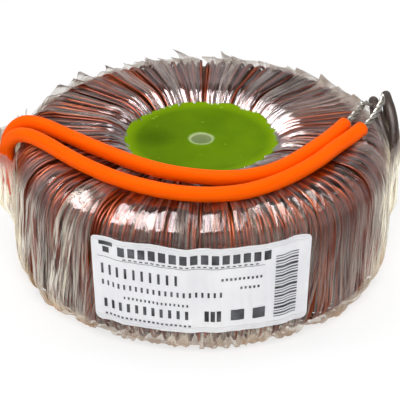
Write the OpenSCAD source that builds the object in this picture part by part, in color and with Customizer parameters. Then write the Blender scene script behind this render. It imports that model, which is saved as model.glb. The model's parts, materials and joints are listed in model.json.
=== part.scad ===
// Toroidal mains transformer with a potted centre, lying flat on its base.
// Origin on the axis of the mounting hole, in the plane of the base. +Z is up.
// The secondary leads leave the winding at -X and lie over the front of the crown (-Y).
// The primary leads leave it at +X and run round behind (+Y).

/* [Core] */
// Outer diameter of the strip-wound steel core
core_od = 102; // [96:1:130]
// Inner diameter of the core
core_id = 54; // [48:1:66]
// Height of the core
core_h = 28; // [22:1:40]
// Break on the wound core's edges
core_edge = 0.4; // [0.2:0.1:1]
// Thickness of the insulating ring on each end of the core
end_ring_t = 0.8; // [0.5:0.1:1.5]
// Thickness of the tape wrapped round the core
core_wrap_t = 0.5; // [0.2:0.1:1]

/* [Primary] */
// Build of the primary on the outside of the ring
primary_side = 1.4; // [1:0.1:2.5]
// Build of the primary on the two faces of the ring
primary_face = 1.7; // [1:0.1:3]
// Build of the primary inside the ring, where the turns crowd together
primary_bore = 2.6; // [1.5:0.1:4]
// Thickness of the insulation between the primary and the secondary
barrier_t = 0.4; // [0.2:0.1:1]

/* [Secondary] */
// Diameter of one enamelled strand
strand_d = 0.9; // [0.6:0.05:0.95]
// Turns of the secondary, each of three strands side by side
turns = 64; // [24:4:72]
// Groups that the turns are gathered in round the ring
turn_groups = 16; // [8:4:16]
// Share of each group's angle left bare beside it
group_gap = 0.06; // [0.02:0.01:0.1]
// Centre-line radius of a strand's bend at the outside of the ring
outer_bend = 6.5; // [4:0.25:6.75]
// Centre-line radius of a strand's bend at the mouth of the bore
inner_bend = 6; // [3:0.5:8]

/* [Outer wrap] */
// Thickness of the clear polyester film wrap
film_t = 0.25; // [0.15:0.05:0.5]
// Pleats in the film round the ring, where one lap covers the next
pleats = 40; // [24:1:60]
// Share of each lap that lies over its neighbour
pleat_share = 0.35; // [0.2:0.05:0.5]
// Clearance between wound layers and what is wrapped round them
layer_clearance = 0.05; // [0.02:0.01:0.1]

/* [Potting] */
// Diameter of the mounting hole through the potting
mount_hole_d = 6; // [4:0.5:10]
// Depth of the potting's surface below the crown of the ring
potting_recess = 2.6; // [1.5:0.1:5]
// Radius of the potting's flat foot
potting_foot_r = 24.5; // [22:0.5:25.5]

/* [Label] */
// Thickness of the paper label
label_t = 0.2; // [0.1:0.05:0.4]
// Angle that the label covers round the ring
label_angle = 65; // [30:1:80]
// Height of the label's lower edge above the base
label_bottom = 8; // [3:0.5:12]
// Height of the label
label_h = 27; // [15:0.5:30]
// Radius of the label's corners
label_corner = 1.5; // [0.5:0.5:3]

/* [Leads] */
// Diameter of the orange sleeving on each secondary lead
sleeve_d = 4.3; // [3:0.1:5]
// Diameter of the bare twisted end of each secondary lead
tail_d = 2; // [1.5:0.1:2.4]
// Diameter of each black primary lead
primary_lead_d = 3; // [2:0.1:3]
// Diameter of the tinned end of each primary lead
tip_d = 1.2; // [0.8:0.1:1.8]
// Film over the leads where the last lap ties them down
tie_t = 0.5; // [0.3:0.1:1]
// Width of each side of a tie that is stuck to the wall
tie_landing = 3; // [1:0.5:6]
// Height of the secondary leads' tie
secondary_tie_h = 12; // [8:1:14]
// Height of the secondary leads' tie above the base
secondary_tie_bottom = 19; // [16:1:20]
// Height of the primary leads' tie
primary_tie_h = 8; // [6:1:8]
// Height of the primary leads' tie above the base
primary_tie_bottom = 15; // [12:1:16]

/* [Hidden] */

copper = "#8c3a2a";
film_colour = "#d8cfc8";
tape_colour = "#c9a24a";
orange = "#fd6612";
black = "#2a2422";
tinned = "#c9c6bc";
small = 0.01;

// Each layer is a ring section: [inner radius, outer radius, half height, inner fillet, outer fillet].
core_ring = [core_id / 2, core_od / 2, core_h / 2, core_edge, core_edge];
capped_ring = [core_ring[0], core_ring[1], core_ring[2] + end_ring_t, end_ring_t, end_ring_t];
function grown(ring, bore, side, face, inner_fillet, outer_fillet) =
    [ring[0] - bore, ring[1] + side, ring[2] + face, inner_fillet, outer_fillet];
function grown_evenly(ring, t) = grown(ring, t, t, t, ring[3] + t, ring[4] + t);

wrap_ring = grown_evenly(capped_ring, core_wrap_t);
strand_seat = strand_d / 2 + layer_clearance;
barrier_ring = grown(wrap_ring, primary_bore + barrier_t, primary_side + barrier_t,
    primary_face + barrier_t, inner_bend - strand_seat, outer_bend - strand_seat);
primary_ring = grown_evenly(barrier_ring, -barrier_t);

// Strand 3 lies against the barrier, and strands 2 and 1 over it, one layer each in the bore and on
// the faces. Round the outside all three lie side by side.
layer_pitch = strand_d + 3 * layer_clearance;
function strand_bore_r(layer) = barrier_ring[0] - strand_seat - layer * layer_pitch;
function strand_half_h(layer) = barrier_ring[2] + strand_seat + layer * layer_pitch;
strand_side_r = barrier_ring[1] + strand_seat;

cavity_ring = [strand_bore_r(2) - strand_seat, strand_side_r + strand_seat, strand_half_h(2) + strand_seat,
    inner_bend + strand_seat, outer_bend + strand_seat];
film_ring = grown_evenly(cavity_ring, film_t);
pleat_ring = grown_evenly(film_ring, film_t);
label_ring = grown_evenly(pleat_ring, label_t);

mid_z = pleat_ring[2];
crown_z = 2 * mid_z;
potting_top = crown_z - potting_recess;
bore_mouth_r = film_ring[0] + film_ring[3];
wall_r = pleat_ring[1];

// The leads' route points, chosen by hand. Each tube follows its own list.
sleeve_upper_route = [[-57.1, 2.3, 22], [-57.1, 2.3, 27], [-57.1, 2.3, 32], [-56.7, 2.2, 37.2],
    [-54.2, 1.6, 41.5], [-50.4, 0, 43.8], [-45.2, -3.2, 44.3], [-39.4, -8, 44.2], [-32.8, -13.8, 44.2],
    [-26, -19.4, 44.2], [-18.6, -25, 44.2], [-10.6, -29.6, 44.2], [-2.2, -32.4, 44.2], [6.4, -33.6, 44.2],
    [14.4, -32.2, 44.2], [21.4, -28.2, 44.2], [27.6, -21.8, 44.2], [33, -15, 44.2], [37.6, -8.6, 44.2],
    [41.6, -2.2, 44.3]];
sleeve_lower_route = [[-57.1, -2.3, 22], [-57.1, -2.3, 27], [-57.1, -2.3, 32], [-56.7, -2.8, 37.2],
    [-54.2, -4.6, 41.5], [-50.2, -7.9, 43.8], [-44.8, -13, 44.3], [-38.6, -19.8, 44.2], [-32, -26.6, 44.2],
    [-24.6, -32.8, 44.2], [-16.4, -37.8, 44.2], [-7.4, -41.4, 44.2], [2, -42.6, 44.2], [11, -41.2, 44.2],
    [19.2, -36.8, 44.2], [26.2, -30.8, 44.2], [32.6, -23.6, 44.2], [37.8, -16.2, 44.2],
    [42.4, -10.4, 44.3], [46.2, -5.4, 44.6]];
tail_upper_route = [[41.6, -2.2, 44.3], [43.6, 1, 44.35], [45.2, 4.1, 44.6], [46.7, 7.2, 45],
    [48.8, 9.6, 45.4], [51.2, 10.6, 45]];
tail_lower_route = [[46.2, -5.4, 44.6], [48.1, -2.9, 44.75], [50.3, 0.9, 45.4], [52.1, 4.7, 46.3],
    [53.5, 8, 47.4], [54.7, 10.6, 48.6]];
primary_lead_1_route = [[56.4, 8, 18], [56.4, 8, 23], [56.2, 9, 27.6], [55.6, 11.8, 31.8],
    [54.4, 15.8, 35], [53.4, 19.6, 37.2], [52.8, 23.4, 38], [52.8, 27, 37], [53.4, 29.8, 34],
    [54.2, 32, 29], [54.8, 33.4, 22.6], [54.2, 35, 15], [51.6, 38.2, 8], [47.2, 43, 3.2],
    [41.4, 48.4, 1.6], [34.2, 53.2, 1.6], [26.2, 56.6, 1.6], [17.8, 58.8, 1.6], [9, 59.8, 1.6]];
primary_lead_2_route = [[56.4, 4.4, 18], [56.4, 4.4, 23], [56.8, 5, 28], [57.4, 7.2, 33], [57.4, 10.4, 37.2],
    [56.8, 14.4, 40.2], [56.2, 19, 41.2], [56.2, 24, 40.4], [57, 28.6, 37], [58, 31.8, 31], [58.6, 34, 23.4],
    [57.8, 36.8, 15.4], [55.2, 40.6, 8], [50.6, 45.8, 3.2], [44.4, 51.4, 1.6], [36.8, 56.6, 1.6],
    [28.4, 60.4, 1.6], [19.4, 62.8, 1.6], [10.2, 63.8, 1.6]];
tip_length = 8;

module rounded_corner(r, z, fillet) {
    translate([r, z]) circle(r = fillet, $fn = 64);
}

// The section of one ring, with its four corners rounded, standing in the plane of radius and height.
module ring_section(ring) {
    r0 = ring[0];
    r1 = ring[1];
    h = ring[2];
    f0 = ring[3];
    f1 = ring[4];
    for (side = [-1, 1]) {
        rounded_corner(r0 + f0, side * (h - f0), f0);
        rounded_corner(r1 - f1, side * (h - f1), f1);
    }
    translate([r0, f0 - h]) square([f0, 2 * (h - f0)]);
    translate([r1 - f1, f1 - h]) square([f1, 2 * (h - f1)]);
    translate([r0 + f0, -h]) square([r1 - r0 - f0 - f1, 2 * h]);
}

// A closed layer that follows one ring section outside and another inside.
module layer(outside, inside) {
    translate([0, 0, mid_z]) rotate_extrude($fn = 128) difference() {
        ring_section(outside);
        ring_section(inside);
    }
}

module core() {
    color("#8d8f93") translate([0, 0, mid_z]) rotate_extrude($fn = 128) ring_section(core_ring);
}

// A flat ring with its two outer edges rounded, as moulded end insulation is.
module core_end_ring(side) {
    color("#e8e2cf") translate([0, 0, mid_z]) rotate_extrude($fn = 128) intersection() {
        ring_section(capped_ring);
        translate([0, side > 0 ? core_h / 2 : -core_h]) square([core_od, core_h / 2]);
    }
}

module core_end_ring_top() {
    core_end_ring(1);
}

module core_end_ring_bottom() {
    core_end_ring(-1);
}

module core_wrap() {
    color(tape_colour) translate([0, 0, mid_z]) rotate_extrude($fn = 128) difference() {
        ring_section(wrap_ring);
        ring_section(capped_ring);
    }
}

module primary_winding() {
    color("#7a2f1d") layer(primary_ring, wrap_ring);
}

module winding_barrier() {
    color(tape_colour) layer(barrier_ring, primary_ring);
}

// A quarter bend of a strand, centred at [r, z], from start to start + 90 degrees.
module strand_bend(r, z, start, bend_r) {
    translate([r, 0, z]) rotate([90, 0, 0]) rotate([0, 0, start])
        rotate_extrude(angle = 90, $fn = 48) translate([bend_r, 0]) circle(d = strand_d, $fn = 24);
}

// One turn of one strand: a closed loop round the section of the ring, in the plane y = 0.
module strand_turn(layer) {
    bore_r = strand_bore_r(layer);
    half_h = strand_half_h(layer);
    inner_r = bore_r + inner_bend;
    outer_r = strand_side_r - outer_bend;
    for (leg = [[bore_r, half_h - inner_bend], [strand_side_r, half_h - outer_bend]])
        translate([leg[0], 0, -leg[1]]) cylinder(d = strand_d, h = 2 * leg[1], $fn = 24);
    for (side = [-1, 1])
        translate([inner_r, 0, side * half_h]) rotate([0, 90, 0])
            cylinder(d = strand_d, h = outer_r - inner_r, $fn = 24);
    strand_bend(outer_r, half_h - outer_bend, 0, outer_bend);
    strand_bend(inner_r, half_h - inner_bend, 90, inner_bend);
    strand_bend(inner_r, inner_bend - half_h, 180, inner_bend);
    strand_bend(outer_r, outer_bend - half_h, 270, outer_bend);
}

group_angle = 360 / turn_groups;
turns_per_group = turns / turn_groups;
strand_angle = group_angle * (1 - group_gap) / (3 * turns_per_group);

module secondary_strand(number) {
    color(copper) translate([0, 0, mid_z])
        for (group = [0 : turn_groups - 1], turn = [0 : turns_per_group - 1])
            rotate([0, 0, group * group_angle + (3 * turn + number - 1) * strand_angle])
                strand_turn(3 - number);
}

module secondary_strand_1() {
    secondary_strand(1);
}

module secondary_strand_2() {
    secondary_strand(2);
}

module secondary_strand_3() {
    secondary_strand(3);
}

module film_wrap() {
    color(film_colour) layer(film_ring, cavity_ring);
}

// The film's laps cover each other by a share of their width, so a doubled strip of film stands on the
// wrap at each. The strips stop at the mouth of the bore, where the potting holds them.
module film_laps() {
    lap = 360 / pleats;
    color(film_colour) translate([0, 0, mid_z])
        for (n = [0 : pleats - 1])
            rotate([0, 0, n * lap]) rotate_extrude(angle = lap * pleat_share, $fn = 128) difference() {
                ring_section(pleat_ring);
                ring_section(film_ring);
                translate([0, -crown_z]) square([bore_mouth_r, 2 * crown_z]);
            }
}

// The resin fills the bore between the film and the mounting hole, flush with the base.
module potting() {
    color("#5d7f07") difference() {
        rotate_extrude($fn = 128) difference() {
            square([potting_foot_r, potting_top]);
            translate([0, mid_z]) ring_section(film_ring);
        }
        translate([0, 0, -small]) cylinder(d = mount_hole_d, h = potting_top + 2 * small, $fn = 64);
    }
}

// A rounded rectangle seen from the front, as deep as the ring, that cuts the label to its outline.
module label_outline() {
    half_w = wall_r * sin(label_angle / 2);
    top = label_bottom + label_h;
    translate([0, -core_id / 2, 0]) rotate([90, 0, 0]) linear_extrude(height = core_od) {
        for (x = [-1, 1], z = [label_bottom + label_corner, top - label_corner])
            translate([x * (half_w - label_corner), z]) circle(r = label_corner, $fn = 32);
        translate([label_corner - half_w, label_bottom]) square([2 * (half_w - label_corner), label_h]);
        translate([-half_w, label_bottom + label_corner]) square([2 * half_w, label_h - 2 * label_corner]);
    }
}

module label() {
    color("#f4f3ef") intersection() {
        translate([0, 0, mid_z]) rotate_extrude($fn = 128) difference() {
            ring_section(label_ring);
            ring_section(pleat_ring);
        }
        label_outline();
    }
}

// The last lap of film, drawn tight over two leads that stand side by side against the wall, and stuck
// down to the wall on both sides of them. The leads run straight up inside it from their first points.
module lead_tie(starts, lead_d, bottom, top) {
    tie_r = wall_r + tie_t;
    middle = (starts[0] + starts[1]) / 2;
    half_w = norm(starts[0] - starts[1]) / 2 + lead_d / 2 + tie_landing;
    difference() {
        translate([0, 0, bottom]) linear_extrude(height = top - bottom) difference() {
            union() {
                // over the leads, and down to a landing line on each side
                hull() {
                    for (p = starts) translate([p.x, p.y]) circle(r = lead_d / 2 + tie_t, $fn = 32);
                    intersection() {
                        circle(r = tie_r, $fn = 128);
                        translate([middle.x, middle.y]) square([2 * tie_t + lead_d, 2 * half_w], center = true);
                    }
                }
                // against the wall
                intersection() {
                    circle(r = tie_r, $fn = 128);
                    translate([sign(middle.x) * tie_r, middle.y]) square([tie_r, 2 * half_w], center = true);
                }
            }
            circle(r = wall_r, $fn = 128);
        }
        for (p = starts)
            translate(p) cylinder(d = lead_d, h = top, $fn = 32);
    }
}

module secondary_tie() {
    color(film_colour) lead_tie([sleeve_upper_route[0], sleeve_lower_route[0]], sleeve_d,
        secondary_tie_bottom, secondary_tie_bottom + secondary_tie_h);
}

module primary_tie() {
    color(film_colour) lead_tie([primary_lead_1_route[0], primary_lead_2_route[0]], primary_lead_d,
        primary_tie_bottom, primary_tie_bottom + primary_tie_h);
}

function unit(v) = v / norm(v);
// Direction of a route at one of its points.
function heading(route, i) = unit(route[min(i + 1, len(route) - 1)] - route[max(i - 1, 0)]);
// The part of a vector square to a direction.
function square_to(v, direction) = unit(v - direction * (v * direction));
// A side vector for each ring, each turned as little as it can be from the one before.
function side_vectors(route, i = 0, last = [0, 1, 0]) = i == len(route) ? [] :
    let (side = square_to(last, heading(route, i))) concat([side], side_vectors(route, i + 1, side));

// A round tube of the given number of sides, with one ring at each point of the route.
module tube(route, d, sides = 8) {
    ends = len(route) - 1;
    across = side_vectors(route);
    points = [for (i = [0 : ends], k = [0 : sides - 1])
        let (u = across[i], w = cross(heading(route, i), u), a = 360 * k / sides)
            route[i] + d / 2 * (u * cos(a) + w * sin(a))];
    walls = [for (i = [0 : ends - 1], k = [0 : sides - 1])
        let (n = (k + 1) % sides, low = i * sides, high = low + sides)
            [low + k, high + k, high + n, low + n]];
    first = [[for (k = [0 : sides - 1]) k]];
    last = [[for (k = [sides - 1 : -1 : 0]) ends * sides + k]];
    polyhedron(points = points, faces = concat(first, walls, last), convexity = 10);
}

module sleeve_upper() {
    color(orange) tube(sleeve_upper_route, sleeve_d, 10);
}

module sleeve_lower() {
    color(orange) tube(sleeve_lower_route, sleeve_d, 10);
}

module tail_upper() {
    color(tinned) tube(tail_upper_route, tail_d);
}

module tail_lower() {
    color(tinned) tube(tail_lower_route, tail_d);
}

module primary_lead_1() {
    color(black) tube(primary_lead_1_route, primary_lead_d);
}

module primary_lead_2() {
    color(black) tube(primary_lead_2_route, primary_lead_d);
}

// The tinned end of a primary lead goes straight on from the last two points of its route.
module primary_tip(route) {
    end = route[len(route) - 1];
    way = unit(end - route[len(route) - 2]);
    color(tinned) tube([end, end + way * tip_length], tip_d);
}

module primary_tip_1() {
    primary_tip(primary_lead_1_route);
}

module primary_tip_2() {
    primary_tip(primary_lead_2_route);
}

core();
core_end_ring_top();
core_end_ring_bottom();
core_wrap();
primary_winding();
winding_barrier();
secondary_strand_1();
secondary_strand_2();
secondary_strand_3();
film_wrap();
film_laps();
potting();
label();
secondary_tie();
primary_tie();
sleeve_upper();
sleeve_lower();
tail_upper();
tail_lower();
primary_lead_1();
primary_lead_2();
primary_tip_1();
primary_tip_2();
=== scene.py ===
"""Looks of a potted-centre toroidal transformer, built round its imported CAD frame.

Sizes are in metres, in the frame of the CAD model: the origin is on the mounting hole's axis in the
plane of the base, +Z is up, the label faces -Y and the secondary leads leave the winding at -X.
"""
import json
import math

import bpy
import numpy as np
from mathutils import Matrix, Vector


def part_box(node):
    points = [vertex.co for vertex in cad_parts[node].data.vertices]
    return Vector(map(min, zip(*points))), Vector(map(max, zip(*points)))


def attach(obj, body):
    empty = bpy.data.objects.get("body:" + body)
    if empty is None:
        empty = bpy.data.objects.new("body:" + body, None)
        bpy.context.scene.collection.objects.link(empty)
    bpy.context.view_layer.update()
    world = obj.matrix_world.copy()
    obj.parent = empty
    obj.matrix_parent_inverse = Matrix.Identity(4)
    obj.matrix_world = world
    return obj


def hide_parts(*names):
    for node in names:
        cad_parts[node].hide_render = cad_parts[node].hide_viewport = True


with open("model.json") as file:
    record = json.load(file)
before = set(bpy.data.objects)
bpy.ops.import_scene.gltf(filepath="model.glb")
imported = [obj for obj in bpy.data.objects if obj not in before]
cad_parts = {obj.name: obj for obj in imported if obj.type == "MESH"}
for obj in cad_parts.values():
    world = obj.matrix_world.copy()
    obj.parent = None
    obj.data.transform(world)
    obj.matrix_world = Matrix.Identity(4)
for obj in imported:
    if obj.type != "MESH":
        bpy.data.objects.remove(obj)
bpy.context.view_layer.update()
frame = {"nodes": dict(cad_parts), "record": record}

MM = 0.001
TAU = 2 * math.pi
BODY = "root"

# ---------------------------------------------------------------- sizes taken from the frame


def box_of(node):
    """Lowest and highest corner of a CAD node, as two arrays in metres."""
    low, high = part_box(node)
    return np.array(low), np.array(high)


laps_high = box_of("film_laps")[1]
strand_boxes = {number: box_of(f"secondary_strand_{number}") for number in (1, 2, 3)}
label_low, label_high = box_of("label")
mounts = {mount["name"]: mount for mount in frame["record"]["mounts"]}

CROWN_Z = laps_high[2]
MID_Z = CROWN_Z / 2
WALL_R = laps_high[0]
HOLE_R = mounts["mounting_hole"]["dims"]["r_mm"] * MM
POTTING_TOP = box_of("potting")[1][2]

# ---------------------------------------------------------------- leads: routes, as in the CAD source

SLEEVE_D = 4.3 * MM
PRIMARY_LEAD_D = 3.0 * MM

SLEEVE_UPPER_ROUTE = [
    (-57.1, 2.3, 22), (-57.1, 2.3, 27), (-57.1, 2.3, 32), (-56.7, 2.2, 37.2), (-54.2, 1.6, 41.5),
    (-50.4, 0, 43.8), (-45.2, -3.2, 44.3), (-39.4, -8, 44.2), (-32.8, -13.8, 44.2), (-26, -19.4, 44.2),
    (-18.6, -25, 44.2), (-10.6, -29.6, 44.2), (-2.2, -32.4, 44.2), (6.4, -33.6, 44.2),
    (14.4, -32.2, 44.2), (21.4, -28.2, 44.2), (27.6, -21.8, 44.2), (33, -15, 44.2), (37.6, -8.6, 44.2),
    (41.6, -2.2, 44.3)]
SLEEVE_LOWER_ROUTE = [
    (-57.1, -2.3, 22), (-57.1, -2.3, 27), (-57.1, -2.3, 32), (-56.7, -2.8, 37.2), (-54.2, -4.6, 41.5),
    (-50.2, -7.9, 43.8), (-44.8, -13, 44.3), (-38.6, -19.8, 44.2), (-32, -26.6, 44.2),
    (-24.6, -32.8, 44.2), (-16.4, -37.8, 44.2), (-7.4, -41.4, 44.2), (2, -42.6, 44.2), (11, -41.2, 44.2),
    (19.2, -36.8, 44.2), (26.2, -30.8, 44.2), (32.6, -23.6, 44.2), (37.8, -16.2, 44.2),
    (42.4, -10.4, 44.3), (46.2, -5.4, 44.6)]
TAIL_UPPER_ROUTE = [
    (41.6, -2.2, 44.3), (43.6, 1, 44.35), (45.2, 4.1, 44.6), (46.7, 7.2, 45), (48.8, 9.6, 45.4),
    (51.2, 10.6, 45)]
TAIL_LOWER_ROUTE = [
    (46.2, -5.4, 44.6), (48.1, -2.9, 44.75), (50.3, 0.9, 45.4), (52.1, 4.7, 46.3), (53.5, 8, 47.4),
    (54.7, 10.6, 48.6)]
PRIMARY_LEAD_1_ROUTE = [
    (56.4, 8, 18), (56.4, 8, 23), (56.2, 9, 27.6), (55.6, 11.8, 31.8), (54.4, 15.8, 35),
    (53.4, 19.6, 37.2), (52.8, 23.4, 38), (52.8, 27, 37), (53.4, 29.8, 34), (54.2, 32, 29),
    (54.8, 33.4, 22.6), (54.2, 35, 15), (51.6, 38.2, 8), (47.2, 43, 3.2), (41.4, 48.4, 1.6),
    (34.2, 53.2, 1.6), (26.2, 56.6, 1.6), (17.8, 58.8, 1.6), (9, 59.8, 1.6)]
PRIMARY_LEAD_2_ROUTE = [
    (56.4, 4.4, 18), (56.4, 4.4, 23), (56.8, 5, 28), (57.4, 7.2, 33), (57.4, 10.4, 37.2),
    (56.8, 14.4, 40.2), (56.2, 19, 41.2), (56.2, 24, 40.4), (57, 28.6, 37), (58, 31.8, 31),
    (58.6, 34, 23.4), (57.8, 36.8, 15.4), (55.2, 40.6, 8), (50.6, 45.8, 3.2), (44.4, 51.4, 1.6),
    (36.8, 56.6, 1.6), (28.4, 60.4, 1.6), (19.4, 62.8, 1.6), (10.2, 63.8, 1.6)]

# ---------------------------------------------------------------- surfaces worked out as arrays


def unit(v):
    """Vectors along the last axis, each divided by its length."""
    return v / np.maximum(np.linalg.norm(v, axis=-1, keepdims=True), 1e-12)


def smooth_step(x, low, high):
    """0 below low, 1 above high, and 3t^2 - 2t^3 between, where t runs from 0 to 1."""
    t = np.clip((x - low) / (high - low), 0, 1)
    return t * t * (3 - 2 * t)


def grid_faces(rows, columns, close_rows=False, close_columns=False):
    """Quads between neighbouring points of a grid whose point (i, j) is number i * columns + j."""
    i = np.arange(rows if close_rows else rows - 1)
    j = np.arange(columns if close_columns else columns - 1)
    i, j = (a.ravel() for a in np.meshgrid(i, j, indexing="ij"))
    i_next, j_next = (i + 1) % rows, (j + 1) % columns
    return np.stack([i * columns + j, i_next * columns + j, i_next * columns + j_next,
                     i * columns + j_next], axis=1)


def make_mesh(name, points, faces, material, uv=None, veil=None, smooth=True):
    """A mesh object at the origin from point and face arrays. All faces have the same number of corners.
    uv, if given, holds one pair a point, and veil one number a point."""
    points = np.asarray(points, float).reshape(-1, 3)
    faces = np.asarray(faces, int)
    mesh = bpy.data.meshes.new(name)
    mesh.vertices.add(len(points))
    mesh.vertices.foreach_set("co", points.ravel())
    corners = faces.shape[1]
    mesh.loops.add(faces.size)
    mesh.loops.foreach_set("vertex_index", faces.ravel())
    mesh.polygons.add(len(faces))
    mesh.polygons.foreach_set("loop_start", np.arange(len(faces)) * corners)
    mesh.polygons.foreach_set("use_smooth", np.full(len(faces), smooth))
    if uv is not None:
        layer = mesh.uv_layers.new(name="UVMap")
        layer.data.foreach_set("uv", np.asarray(uv, float).reshape(-1, 2)[faces.ravel()].ravel())
    if veil is not None:
        mesh.attributes.new("veil", "FLOAT", "POINT").data.foreach_set("value", np.ravel(veil))
    mesh.update(calc_edges=True)
    mesh.validate()
    mesh.materials.append(material)
    piece = bpy.data.objects.new(name, mesh)
    bpy.context.collection.objects.link(piece)
    return piece


def joined(parts):
    """The point, face and further arrays of several parts as one set."""
    counts = np.cumsum([0] + [len(p[0]) for p in parts[:-1]])
    faces = np.concatenate([p[1] + n for p, n in zip(parts, counts)])
    points, *further = (np.concatenate([p[k] for p in parts]) for k in range(len(parts[0])) if k != 1)
    return points, faces, *further


def lengths_along(path):
    """How far along a path each of its points is."""
    return np.concatenate([[0], np.cumsum(np.linalg.norm(np.diff(path, axis=0), axis=1))])


def through(route, spacing):
    """Points about spacing apart on the Catmull-Rom curve through a route given in millimetres: each
    stretch between two points is the cubic whose end slopes are half the step between their neighbours."""
    knots = np.array(route, float) * MM
    ends = np.vstack([2 * knots[0] - knots[1], knots, 2 * knots[-1] - knots[-2]])
    pieces = []
    for a, b, c, d in zip(ends[:-3], ends[1:-2], ends[2:-1], ends[3:]):
        t = np.linspace(0, 1, 24, endpoint=False)[:, None]
        pieces.append(0.5 * (2 * b + (c - a) * t + (2 * a - 5 * b + 4 * c - d) * t**2
                             + (3 * b - 3 * c + d - a) * t**3))
    fine = np.vstack(pieces + [knots[-1:]])
    along = lengths_along(fine)
    count = max(2, int(round(along[-1] / spacing)) + 1)
    at = np.linspace(0, along[-1], count)
    return np.stack([np.interp(at, along, fine[:, k]) for k in range(3)], axis=1)


def carried_frames(path):
    """Two unit vectors square to the path at each point, each pair turned as little as it can be from
    the one before."""
    heading = unit(np.gradient(path, axis=0))
    across = np.empty_like(path)
    last = np.array([0.0, 1.0, 0.0]) if abs(heading[0][1]) < 0.9 else np.array([1.0, 0, 0])
    for i, h in enumerate(heading):
        last = last - h * last.dot(h)
        last = last / np.linalg.norm(last)
        across[i] = last
    return across, np.cross(heading, across)


def tube(path, radius, sides):
    """A round tube along a path: ring i is the circle of that radius square to the path at its point i.
    Each end is closed by a nearly flat cap of three smaller rings, the last of them a point."""
    path = np.asarray(path, float)
    radius = np.broadcast_to(radius, len(path)).astype(float)
    across, aside = carried_frames(path)
    heading = np.cross(across, aside)
    cap = np.array([0.0, 0.55, 0.9])
    inset = 0.1 * (cap - 1)[:, None]
    start = path[0] + heading[0] * radius[0] * inset
    end = path[-1] - heading[-1] * radius[-1] * inset
    path = np.vstack([start, path, end[::-1]])
    across = np.vstack([np.repeat(across[:1], len(cap), 0), across, np.repeat(across[-1:], len(cap), 0)])
    aside = np.vstack([np.repeat(aside[:1], len(cap), 0), aside, np.repeat(aside[-1:], len(cap), 0)])
    radius = np.concatenate([cap * radius[0], radius, cap[::-1] * radius[-1]])
    angle = np.arange(sides) * TAU / sides
    ring = np.cos(angle)[:, None] * across[:, None] + np.sin(angle)[:, None] * aside[:, None]
    points = path[:, None] + radius[:, None, None] * ring
    along = lengths_along(path)
    uv = np.stack(np.broadcast_arrays(angle[None] / TAU, along[:, None]), axis=-1)
    return points.reshape(-1, 3), grid_faces(len(path), sides, close_columns=True), uv.reshape(-1, 2)


def quarter(centre_r, centre_z, half_w, half_h, start, power=2.0):
    """A quarter of a superellipse, turning clockwise from the start angle: at a turn a the point is
    centre + (half_w * |cos a| ** (2 / power), half_h * |sin a| ** (2 / power)), with the signs of
    cos a and sin a."""
    turn = start - np.linspace(0, math.pi / 2, 40)
    c, s = np.cos(turn), np.sin(turn)
    return (centre_r + half_w * np.sign(c) * np.abs(c) ** (2 / power),
            centre_z + half_h * np.sign(s) * np.abs(s) ** (2 / power))


def ring_outline(count, bore_r, wall_r, half_h, bore_fillet, funnel, shoulder, foot):
    """count points evenly spaced round the section of a ring, as radius, height above the middle, and
    the outward normal's two parts. The section is a rectangle whose corners are quarter superellipses.
    funnel, shoulder and foot each hold the half width, half height and power of a corner: the one at the
    top of the bore and the two outer ones. The outline starts in the middle of the bore's wall and goes
    over the crown, down the wall and back."""
    corners = (
        quarter(bore_r + funnel[0], half_h - funnel[1], *funnel[:2], math.pi, funnel[2]),
        quarter(wall_r - shoulder[0], half_h - shoulder[1], *shoulder[:2], math.pi / 2, shoulder[2]),
        quarter(wall_r - foot[0], foot[1] - half_h, *foot[:2], 0, foot[2]),
        quarter(bore_r + bore_fillet, bore_fillet - half_h, bore_fillet, bore_fillet, -math.pi / 2))
    r = np.concatenate([[bore_r]] + [c[0] for c in corners] + [[bore_r]])
    z = np.concatenate([[0.0]] + [c[1] for c in corners] + [[0.0]])
    along = np.concatenate([[0], np.cumsum(np.hypot(np.diff(r), np.diff(z)))])
    at = np.linspace(0, along[-1], count, endpoint=False)
    r, z = np.interp(at, along, r), np.interp(at, along, z)
    dr, dz = np.roll(r, -1) - np.roll(r, 1), np.roll(z, -1) - np.roll(z, 1)
    size = np.hypot(dr, dz)
    return r, z, -dz / size, dr / size


def round_axis(angle, r, z):
    """Points at an angle round the axis, at radius r and height z above the base."""
    return np.stack(np.broadcast_arrays(r * np.cos(angle), r * np.sin(angle), z), axis=-1)


def on_ring(angle, r, z):
    """Points at an angle round the axis, at radius r and height z above the middle of the ring."""
    return round_axis(angle, r, z + MID_Z)


def waves(x, seed, terms):
    """A smooth wave of x that repeats every 2 pi and mostly stays within -1 to 1: the sum of sin(k x + a
    phase drawn from the seed) for k from 1 to terms, divided by the root of terms."""
    draw = np.random.default_rng(seed)
    total = 0
    for k in range(1, terms + 1):
        total = total + np.sin(k * x + draw.uniform(0, TAU)) / terms**0.5
    return total

# ---------------------------------------------------------------- shader expressions


class Value:
    """A socket of a shader graph that takes part in arithmetic. Each operation adds one Math node."""

    def __init__(self, graph, socket):
        self.graph = graph
        self.socket = socket

    def math(self, operation, *others, clamp=False):
        """The result of one Math node whose first socket is this value."""
        return self.graph.node("ShaderNodeMath", {"operation": operation, "use_clamp": clamp},
                               {i: v for i, v in enumerate((self,) + others)})

    def __add__(self, other):
        return self.math("ADD", other)

    __radd__ = __add__

    def __mul__(self, other):
        return self.math("MULTIPLY", other)

    __rmul__ = __mul__

    def __sub__(self, other):
        return self.math("SUBTRACT", other)

    def __rsub__(self, other):
        return (self * -1.0) + other

    def __pow__(self, other):
        return self.math("POWER", other)

    def clamped(self):
        """The value kept within 0 and 1."""
        return self.math("ADD", 0.0, clamp=True)

    def between(self, start, end):
        """0 where the value is at start or before it, 1 from end on, and straight in between. The end
        may be the lower of the two."""
        return ((self - start) * (1 / (end - start))).clamped()


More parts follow.
